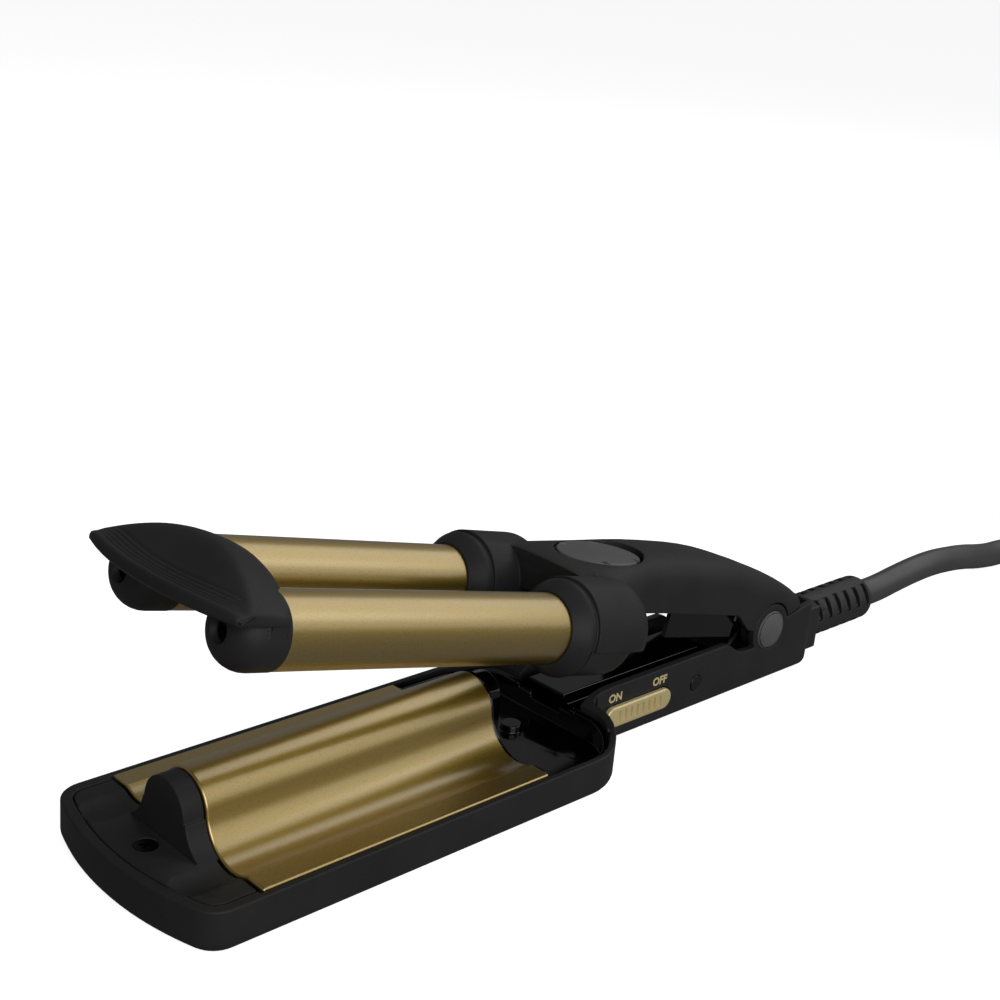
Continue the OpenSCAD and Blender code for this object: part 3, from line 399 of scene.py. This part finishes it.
class WAVER_OT_stage(bpy.types.Operator):
    """Sets the camera, the floor, the lamps and the world"""

    bl_idname = "waver.stage"
    bl_label = "Stage"

    # the photo's camera, fitted to the plate, the barrels and the handle: metres and millimetres
    EYE, FORWARD, UP = (-0.3455, -0.2482, 0.1913), (0.6700, 0.6630, -0.3341), (0.1736, 0.2977, 0.9388)
    SENSOR, LENS = 36, 59.92
    # the paper's white, its glow for the camera, and its grey and the world's strength for the lighting
    PAPER, GLOW, PAPER_GREY, WORLD = 0.8, 0.84, 0.16, 0.12
    # share of the white that gloss and metal reflect
    DIMMED = 0.06
    # the paper's reach, and how far it lies below the rest face, so that the two don't flicker
    REACH, BELOW = 40, 0.0002
    # name, place, aimed at, width, height, watts
    LAMPS = (
        ("key", (0.62, -0.12, 0.80), (-0.08, 0, 0.03), 1.2, 0.9, 3.4),
        ("side", (0.62, -0.75, 0.50), (-0.08, 0, 0.03), 0.9, 0.7, 1.3),
        ("front", (-0.50, -1.05, 0.50), (-0.04, 0, 0.03), 1.1, 0.9, 9.5),
    )

    def execute(self, context):
        scene = context.scene
        scene.view_settings.view_transform = "Standard"
        self.make_camera(scene)
        self.make_floor(scene)
        self.make_lamps(scene)
        self.make_world(scene)
        return {"FINISHED"}

    def make_camera(self, scene):
        data = bpy.data.cameras.new("camera")
        data.sensor_width, data.lens = self.SENSOR, self.LENS
        data.clip_start, data.clip_end = 0.01, 20
        camera = bpy.data.objects.new("camera", data)
        forward = Vector(self.FORWARD).normalized()
        side = forward.cross(Vector(self.UP)).normalized()
        turn = Matrix((side, side.cross(forward), -forward)).transposed()
        camera.matrix_world = Matrix.Translation(self.EYE) @ turn.to_4x4()
        scene.collection.objects.link(camera)
        scene.camera = camera

    def backdrop(self, tree):
        """Share of the white backdrop: whole for the camera and through glass, dimmed in reflections."""
        ray = add_node(tree, "ShaderNodeLightPath").outputs
        gloss = {0: ray["Is Glossy Ray"], 1: self.DIMMED}
        dimmed = add_node(tree, "ShaderNodeMath", gloss, operation="MULTIPLY").outputs[0]
        straight = {0: ray["Is Camera Ray"], 1: ray["Is Transmission Ray"]}
        whole = add_node(tree, "ShaderNodeMath", straight, operation="MAXIMUM").outputs[0]
        return add_node(tree, "ShaderNodeMath", {0: dimmed, 1: whole}, operation="MAXIMUM").outputs[0]

    def make_floor(self, scene):
        """White paper that glows for the camera and still takes the shadow, and is grey as a light."""
        material, tree = new_material("paper_floor")
        share = self.backdrop(tree)
        paper = add_node(tree, "ShaderNodeBsdfDiffuse", {"Color": (self.PAPER,) * 3 + (1,)})
        grey = add_node(tree, "ShaderNodeBsdfDiffuse", {"Color": (self.PAPER_GREY,) * 3 + (1,)})
        glow = add_node(tree, "ShaderNodeEmission", {"Strength": self.GLOW})
        white = add_node(tree, "ShaderNodeAddShader", {0: paper.outputs["BSDF"], 1: glow.outputs["Emission"]})
        inputs = {"Fac": share, 1: grey.outputs["BSDF"], 2: white.outputs["Shader"]}
        mix = add_node(tree, "ShaderNodeMixShader", inputs)
        add_node(tree, "ShaderNodeOutputMaterial", {"Surface": mix.outputs["Shader"]})
        bm = bmesh.new()
        bmesh.ops.create_grid(bm, x_segments=1, y_segments=1, size=self.REACH)
        mesh = bpy.data.meshes.new("floor")
        bm.to_mesh(mesh)
        bm.free()
        mesh.materials.append(material)
        floor = bpy.data.objects.new("floor", mesh)
        floor.location.z = -self.BELOW
        scene.collection.objects.link(floor)

    def make_lamps(self, scene):
        for name, spot, aim, width, height, watts in self.LAMPS:
            data = bpy.data.lights.new(name, "AREA")
            data.shape, data.size, data.size_y, data.energy = "RECTANGLE", width, height, watts
            lamp = bpy.data.objects.new(name, data)
            lamp.location = spot
            lamp.rotation_mode = "QUATERNION"
            lamp.rotation_quaternion = (Vector(aim) - Vector(spot)).to_track_quat("-Z", "Y")
            scene.collection.objects.link(lamp)

    def make_world(self, scene):
        world = bpy.data.worlds.new("studio")
        scene.world = world
        world.use_nodes = True
        tree = world.node_tree
        tree.nodes.clear()
        soft = add_node(tree, "ShaderNodeBackground", {"Color": (1, 1, 1, 1), "Strength": self.WORLD})
        white = add_node(tree, "ShaderNodeBackground", {"Color": (1, 1, 1, 1), "Strength": 1.0})
        share = self.backdrop(tree)
        inputs = {"Fac": share, 1: soft.outputs["Background"], 2: white.outputs["Background"]}
        mix = add_node(tree, "ShaderNodeMixShader", inputs)
        add_node(tree, "ShaderNodeOutputWorld", {"Surface": mix.outputs["Shader"]})


class WAVER_OT_cord(bpy.types.Operator):
    """Lays the mains lead from the strain relief through its hank to the plug"""

    bl_idname = "waver.cord"
    bl_label = "Mains lead"

    # all lengths here are in millimetres
    # how far the lead lies off the table, and how far the loops of the hank lie apart
    LIFT, GAP = 0.1, 0.7
    # the lead's low arch from the relief to the table: places along X, and its middle's height there
    ARCH = (
        (40, 7.4),
        (50, 7.4),
        (60, 7.4),
        (70, 7.5),
        (80, 8.4),
        (90, 9.1),
        (100, 9.2),
        (110, 8.4),
        (119, 7.2),
        (128, 5.5),
        (136, 4.4),
    )
    # where the lead bends aside on the table, where the hank's first run starts, and its middle
    ASIDE_X, RUN_X, MIDDLE_Y = 138, 206, -8.8
    # the hank: its inner bends' radius, half the length of its runs, and how many loops it has
    INNER, RUN, LOOPS = 24.6, 54, 4
    # shares of a loop that one run, one bend, and one climb onto the next layer take
    SHARE, BEND, CLIMB = 0.27, 0.23, 0.5
    # after how many loops the lead climbs
    CLIMBS = (1, 2.5)
    # straight on before and after the hank, then a swing in to the plug at its height, then straight
    STRAIGHT, SWING, LAST, PLUG_H = 1, 64, 6, 7
    # the tie: its width, wall, corner radius, room round the leads, and height above the table
    TIE_WIDTH, TIE_WALL, TIE_CORNER, TIE_ROOM, TIE_LIFT = 12, 0.8, 3.2, 0.4, 0.15

    def radius(self, t, pitch):
        """Radius of the bends after t loops: inwards, then outwards and inwards on the next layers."""
        outer = self.INNER + pitch
        up, over = self.CLIMBS
        if t < up:
            return outer - pitch * t
        if t < up + self.CLIMB:
            return outer - pitch * (t - (t - up) ** 2 / self.CLIMB)
        if t < over:
            return self.INNER + pitch * (t - up - self.CLIMB)
        if t < over + self.CLIMB:
            return outer + pitch * (t - over - (t - over) ** 2 / self.CLIMB)
        return outer - pitch * (t - over - self.CLIMB)

    def hank_point(self, whole, part, middle, low, pitch):
        """A point of the hank after whole loops and a part of one, which starts with its near run."""
        r = self.radius(whole + part, pitch)
        side, v = (1, part) if part < 0.5 else (-1, part - 0.5)
        if v < self.SHARE:
            x, y = self.RUN * (2 * v / self.SHARE - 1), -r
        else:
            a = math.pi * ((v - self.SHARE) / self.BEND - 0.5)
            x, y = self.RUN + r * math.cos(a), r * math.sin(a)
        rise = 0
        for start in self.CLIMBS:
            share = min(1, max(0, (whole + part - start) / self.CLIMB))
            rise += pitch * (1 - math.cos(math.pi * share)) / 2
        return middle[0] + side * x, middle[1] + side * y, low + rise

    def sidestep(self, pitch, low, steps=8):
        """Two equal bends that carry the lead on the table from the middle out to the hank's run."""
        end = self.RUN_X - self.STRAIGHT
        span, aside = end - self.ASIDE_X, self.INNER + pitch - self.MIDDLE_Y
        turn = 2 * math.atan(aside / span)
        bend = span / 2 / math.sin(turn)
        turns = [turn * i / steps for i in range(steps + 1)]
        away = [(bend * math.sin(a), bend * (1 - math.cos(a))) for a in turns]
        points = [(self.ASIDE_X + x, -y, low) for x, y in away[1:]]
        return points + [(end - x, y - aside, low) for x, y in reversed(away[:-1])]

    def route(self, middle, low, pitch):
        """The lead's centre line, from the strain relief to the plug."""
        points = [(x, 0, z) for x, z in self.ARCH] + self.sidestep(pitch, low)
        # places in half a loop: 4 along its run, and 12 round its bend
        stops = [self.SHARE * i / 4 for i in range(4)]
        stops += [self.SHARE + self.BEND * i / 12 for i in range(12)]
        for whole in range(self.LOOPS):
            for part in stops + [stop + 0.5 for stop in stops]:
                points.append(self.hank_point(whole, part, middle, low, pitch))
        x, y, z = self.RUN_X, middle[1] - self.INNER, low + len(self.CLIMBS) * pitch
        points.append((x, y, z))
        for i in range(1, 13):
            u = i / 12
            swing = 2 * u * u if u < 0.5 else 1 - 2 * (1 - u) ** 2
            along = x + self.STRAIGHT + self.SWING * u
            points.append((along, y + self.INNER * swing, z - (z - self.PLUG_H) * swing))
        return points + [(x + self.STRAIGHT + self.SWING + self.LAST, middle[1], self.PLUG_H)]

    def execute(self, context):
        thick = sizes().cord_diameter / MM
        low, pitch = thick / 2 + self.LIFT, thick + self.GAP
        middle = (self.RUN_X + self.RUN, self.MIDDLE_Y)
        route = self.route(middle, low, pitch)
        data = bpy.data.curves.new("mains_lead", "CURVE")
        data.dimensions = "3D"
        data.bevel_depth, data.bevel_resolution = thick / 2 * MM, sizes().cord_steps
        data.resolution_u = 4
        data.use_fill_caps = True
        spline = data.splines.new("BEZIER")
        spline.bezier_points.add(len(route) - 1)
        for knot, point in zip(spline.bezier_points, route):
            knot.co = Vector(point) * MM
            knot.handle_left_type = knot.handle_right_type = "AUTO"
        lead = bpy.data.objects.new("mains_lead", data)
        context.scene.collection.objects.link(lead)
        data.materials.append(MATERIALS["sheath"])
        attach(lead, "base")
        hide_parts("power_cord", "cord_coil", "plug_lead")
        plug = moulded("plug_body", "base", "sheath", "black_rubber", name="plug", bevel=1.0, segments=4)
        carry_over("pins", "plug_pins")
        tie = self.tie(middle, thick, low, pitch)
        return {"FINISHED"}

    def tie(self, middle, thick, low, pitch):
        """A flat band round the far run of the hank."""
        inner = self.INNER - thick / 2 - self.TIE_ROOM
        outer = self.INNER + pitch + thick / 2 + self.GAP
        bottom = self.TIE_LIFT + self.TIE_WALL
        top = low + len(self.CLIMBS) * pitch + thick / 2 + self.TIE_ROOM
        sections = []
        for grow in (0, self.TIE_WALL):
            r = self.TIE_CORNER + grow
            right, left = middle[1] + outer + grow - r, middle[1] + inner - grow + r
            roof, floor = top + grow - r, bottom - grow + r
            section = arc(right, roof, r, 0, 90, 8) + arc(left, roof, r, 90, 180, 8)
            section += arc(left, floor, r, 180, 270, 8) + arc(right, floor, r, 270, 360, 8)
            sections.append(section)
        inside, outside = sections
        half = self.TIE_WIDTH / 2
        bm = bmesh.new()
        rings = []
        for x, section in ((-half, inside), (-half, outside), (half, outside), (half, inside)):
            verts = [bm.verts.new(Vector((middle[0] + x, y, z)) * MM) for y, z in section]
            rings.append([bm.edges.new(pair) for pair in zip(verts, verts[1:] + verts[:1])])
        for ring, following in zip(rings, rings[1:] + rings[:1]):
            bmesh.ops.bridge_loops(bm, edges=ring + following)
        bmesh.ops.recalc_face_normals(bm, faces=bm.faces)
        return add_piece(bm, "cord_tie", "base", "rubber", "black_rubber")


class WAVER_OT_barrels(bpy.types.Operator):
    """Turns the two gold barrels and the collars where they leave the yoke"""

    bl_idname = "waver.barrels"
    bl_label = "Barrels"

    # the tube, in millimetres: its ends along X when closed, its wall, and how its ends are broken
    FRONT, BACK, WALL = -177, -85, 1
    FRONT_EDGE, BACK_EDGE = 0.1, 0.2
    # the collar's outline: along X from its front, and out from the barrel, in millimetres
    COLLAR = (
        (0.1, 0.05),
        (0, 0.15),
        (0, 0.4),
        (0.2, 0.65),
        (3.2, 2.75),
        (3.8, 3.1),
        (4.3, 3.2),
        (4.5, 3.15),
        (4.6, 3.0),
        (4.6, 0.05),
        (0.1, 0.05),
    )

    def tube(self, outer):
        """The closed outline of a barrel's wall."""
        inner = outer - self.WALL
        front, back = self.FRONT + self.FRONT_EDGE, self.BACK - self.BACK_EDGE
        return [
            (front, inner),
            (self.FRONT, inner + self.FRONT_EDGE),
            (self.FRONT, outer - self.FRONT_EDGE),
            (front, outer),
            (back, outer),
            (self.BACK, outer - self.BACK_EDGE),
            (self.BACK, inner + self.BACK_EDGE),
            (back, inner),
            (front, inner),
        ]

    def execute(self, context):
        s = sizes()
        r, rear = s.barrel_radius / MM, -s.barrel_rear / MM
        for side, name in ((-1, "near"), (1, "far")):
            spot = Matrix.Translation((0, side * s.barrel_offset, s.barrel_height))
            tube = turned(self.tube(r))
            place(tube, spot, opened())
            add_piece(tube, "barrel_tube_" + name, "upper_arm", "gold", "gold_anodised", ["barrel_" + name])
            cone = turned([(rear + along, r + out) for along, out in self.COLLAR])
            place(cone, spot, opened())
            add_piece(cone, "barrel_collar_" + name, "upper_arm", "casing", "matte_black", ["collar_" + name])
        return {"FINISHED"}


class WAVER_OT_plate(bpy.types.Operator):
    """Rounds the edges of the wave plate and of its end piece with the stop"""

    bl_idname = "waver.plate"
    bl_label = "Wave plate"

    def execute(self, context):
        edges = {"bevel": 0.5, "segments": 4, "sharp": 30}
        moulded("wave_plate", "base", "gold", "gold_anodised", name="wave_sheet", **edges)
        moulded("plate_bracket", "base", "gloss", "gloss_black", bevel=0.4)
        return {"FINISHED"}


class WAVER_OT_lower_half(bpy.types.Operator):
    """Finishes the lower casing, the nose and the gloss basin"""

    bl_idname = "waver.lower_half"
    bl_label = "Lower half"

    def execute(self, context):
        moulded("lower_casing", "base", "casing", "matte_black", bevel=0.45)
        nose = (0.986, 0.99, 1)
        drawn_in("nose_cap", nose, "base", "casing", "matte_black", "nose_plate", bevel=0.3)
        moulded("inner_liner", "base", "gloss", "gloss_black", bevel=0.35)
        carry_over("block", "plate_heater_near", "plate_heater_far")
        carry_over("screw", "nose_screw", "liner_screws")
        return {"FINISHED"}


class WAVER_OT_upper_half(bpy.types.Operator):
    """Finishes the upper casing, the yoke's cover, the arm's cover and the finger rest"""

    bl_idname = "waver.upper_half"
    bl_label = "Upper half"

    # the skirts under the arm's cover, in millimetres when closed: their size, and a skirt's middle
    SKIRT, SKIRT_X, SKIRT_Y, SKIRT_Z = (28, 1.2, 8), -28, 9, 16.7

    def execute(self, context):
        moulded("upper_casing", "upper_arm", "casing", "matte_black", bevel=0.3)
        moulded("yoke_cover", "upper_arm", "casing", "matte_black", bevel=0.3)
        oval = (0.972, 0.972, 1)
        drawn_in("oval_pad", oval, "upper_arm", "pad", "matte_black", "finger_rest", bevel=0.35)
        self.cover()
        carry_over("screw", "yoke_screws")
        carry_over("block", "heater_near", "heater_far")
        return {"FINISHED"}

    def cover(self):
        """The plate inside the handle, with a skirt down each side of the rail."""
        bm = copy_of("arm_cover")
        for side in (-1, 1):
            add_block(bm, self.SKIRT, (self.SKIRT_X, side * self.SKIRT_Y, self.SKIRT_Z), opened())
        add_piece(bm, "arm_cover_plate", "upper_arm", "gloss", "gloss_black", ["arm_cover"])


class WAVER_OT_tip_cap(bpy.types.Operator):
    """Finishes the visor with the two round noses over the barrels' front ends"""

    bl_idname = "waver.tip_cap"
    bl_label = "Tip cap"

    def execute(self, context):
        moulded("tip_cap", "upper_arm", "casing", "matte_black")
        carry_over("screw", "tip_screws")
        return {"FINISHED"}


class WAVER_OT_switch(bpy.types.Operator):
    """Builds the slide switch and its lettering, and finishes the indicator lens"""

    bl_idname = "waver.switch"
    bl_label = "Switch"

    # all lengths here are in millimetres
    # the button: its middle along X and Z, half its straight run, its ends' radius and their sides
    MIDDLE, REACH, END, END_SIDES = (-52.4, 7.4), 9.2, 2.8, 48
    # its face and its back along Y, and the rounding of its rim
    FACE, BACK, ROUND = -13.4, -12.15, 0.55
    # the grip grooves: how many, their pitch, half their width and height, their slope and depth
    GROOVES, PITCH, HALF_WIDTH, HALF_HEIGHT, SLOPE, DEPTH = 8, 2.15, 0.5, 1.6, 0.16, 0.5
    # the stem behind the button: its size, and its middle along Y
    STEM, STEM_Y = (4, 2.2, 2.4), -11.08
    # the words: their places along X and Z, the handle's side, the letters' size, ink and spread
    WORDS = (("ON", -61.2, 12.5), ("OFF", -44.8, 12.7))
    SIDE_Y, LETTER, INK, SPREAD = -12.52, 3.0, 0.03, 0.1

    def execute(self, context):
        self.slide_button()
        moulded("indicator_lens", "base", "lens", "dark_lens", bevel=0.2)
        carry_over("gloss", "switch_body")
        carry_over("board", "control_board")
        for word, x, z in self.WORDS:
            self.letter(context, word, x, z)
        return {"FINISHED"}

    def slide_button(self):
        """The oblong button with its grip grooves, and the stem behind it."""
        bm = self.oblong()
        self.cut_grooves(bm)
        bmesh.ops.recalc_face_normals(bm, faces=bm.faces)
        x, z = self.MIDDLE
        place(bm, Matrix.Translation((x * MM, 0, z * MM)))
        add_block(bm, self.STEM, (x, self.STEM_Y, z))
        add_piece(bm, "slide_button", "slider", "button", "gold_button", ["switch_slider"], sharp=30)

    def oblong(self):
        """A round disc on edge, its halves pulled apart, given its thickness and a rounded rim."""
        bm = bmesh.new()
        disc = bmesh.ops.create_circle(bm, cap_ends=True, segments=self.END_SIDES, radius=self.END * MM)
        half_step = Matrix.Rotation(math.pi / self.END_SIDES, 4, "Z")
        place(bm, half_step, Matrix.Rotation(math.pi / 2, 4, "X"))
        for vert in disc["verts"]:
            vert.co += Vector((math.copysign(self.REACH, vert.co.x), self.FACE, 0)) * MM
        face = bm.faces[:][0]
        sides = bmesh.ops.extrude_edge_only(bm, edges=face.edges[:])
        for element in sides["geom"]:
            if isinstance(element, bmesh.types.BMVert):
                element.co.y = self.BACK * MM
        bmesh.ops.holes_fill(bm, edges=[e for e in bm.edges if e.is_boundary], sides=0)
        rim = face.edges[:]
        bmesh.ops.bevel(
            bm, geom=rim, affect="EDGES", offset=self.ROUND * MM, segments=4, profile=0.5, material=-1
        )
        return bm

    def cut_grooves(self, bm):
        """Cuts the button's face along each groove's sides, and sinks what lies between them."""
        places = [(i - (self.GROOVES - 1) / 2) * self.PITCH for i in range(self.GROOVES)]
        cuts = [((0, 0, z), (0, 0, 1)) for z in (-self.HALF_HEIGHT, self.HALF_HEIGHT)]
        for x in places:
            cuts += [((x + edge, 0, 0), (1, 0, 0)) for edge in (-self.HALF_WIDTH, self.HALF_WIDTH)]
        on_face = (self.FACE + 0.01) * MM
        for spot, way in cuts:
            faces = [f for f in bm.faces if f.calc_center_median().y < on_face]
            geom = faces + list({e for f in faces for e in f.edges})
            geom += list({v for f in faces for v in f.verts})
            bmesh.ops.bisect_plane(bm, geom=geom, plane_co=Vector(spot) * MM, plane_no=way, dist=1e-7)
        grooves = []
        for f in bm.faces:
            middle = f.calc_center_median()
            across = min(abs(middle.x / MM - x) for x in places)
            if middle.y < on_face and across < self.HALF_WIDTH and abs(middle.z) < self.HALF_HEIGHT * MM:
                grooves.append(f)
        bmesh.ops.inset_individual(bm, faces=grooves, thickness=self.SLOPE * MM, depth=-self.DEPTH * MM)

    def letter(self, context, word, x, z):
        """A word in printed ink on the near side of the handle."""
        data = bpy.data.curves.new("text", "FONT")
        data.body, data.size, data.align_x, data.align_y = word, self.LETTER * MM, "CENTER", "CENTER"
        data.extrude = self.INK * MM
        data.offset = self.SPREAD * MM
        text = bpy.data.objects.new("text", data)
        context.scene.collection.objects.link(text)
        context.view_layer.update()
        mesh = bpy.data.meshes.new_from_object(text)
        bpy.data.objects.remove(text)
        bm = bmesh.new()
        bm.from_mesh(mesh)
        bpy.data.meshes.remove(mesh)
        spot = Matrix.Translation((x * MM, self.SIDE_Y * MM, z * MM))
        place(bm, Matrix.Rotation(math.pi / 2, 4, "X"), spot)
        add_piece(bm, "print_" + word.lower(), "base", "ink", "gold_button")


class WAVER_OT_hinge(bpy.types.Operator):
    """Finishes the pivot caps, the pin and the spring"""

    bl_idname = "waver.hinge"
    bl_label = "Hinge"

    def execute(self, context):
        # painted highlight: the pivot caps are black, and the lighter grey of the finger rest stands in for
        # the sheen on their domes
        moulded("pivot_caps", "base", "pad", "matte_black", bevel=0.45)
        carry_over("steel", "hinge_pin", "return_spring")
        return {"FINISHED"}


class WAVER_OT_strain_relief(bpy.types.Operator):
    """Finishes the slotted strain relief with its block"""

    bl_idname = "waver.strain_relief"
    bl_label = "Strain relief"

    def execute(self, context):
        moulded("strain_relief", "base", "rubber", "black_rubber", bevel=0.4)
        return {"FINISHED"}


class WAVER_PT_panel(bpy.types.Panel):
    """Lists the sizes, the colours and the steps that build the waver"""

    bl_label = "Hair Waver"
    bl_space_type = "VIEW_3D"
    bl_region_type = "UI"
    bl_category = "Waver"

    def draw(self, context):
        layout = self.layout
        for group in (colours(), sizes()):
            for name in group.bl_rna.properties.keys():
                if name not in ("rna_type", "name"):
                    layout.prop(group, name)
        for step in STEPS:
            layout.operator(step.bl_idname)


STEPS = (
    WAVER_OT_stage,
    WAVER_OT_cord,
    WAVER_OT_strain_relief,
    WAVER_OT_lower_half,
    WAVER_OT_plate,
    WAVER_OT_hinge,
    WAVER_OT_switch,
    WAVER_OT_upper_half,
    WAVER_OT_barrels,
    WAVER_OT_tip_cap,
)
CLASSES = (WaverColours, WaverSizes, *STEPS, WAVER_PT_panel)


def register():
    for cls in CLASSES:
        bpy.utils.register_class(cls)
    bpy.types.Scene.waver_colours = PointerProperty(type=WaverColours)
    bpy.types.Scene.waver_sizes = PointerProperty(type=WaverSizes)


def unregister():
    del bpy.types.Scene.waver_sizes
    del bpy.types.Scene.waver_colours
    for cls in reversed(CLASSES):
        bpy.utils.unregister_class(cls)


def main():
    """Builds everything in order."""
    register()
    make_materials()
    for step in STEPS:
        group, name = step.bl_idname.split(".")
        getattr(getattr(bpy.ops, group), name)()


if __name__ == "__main__":
    main()
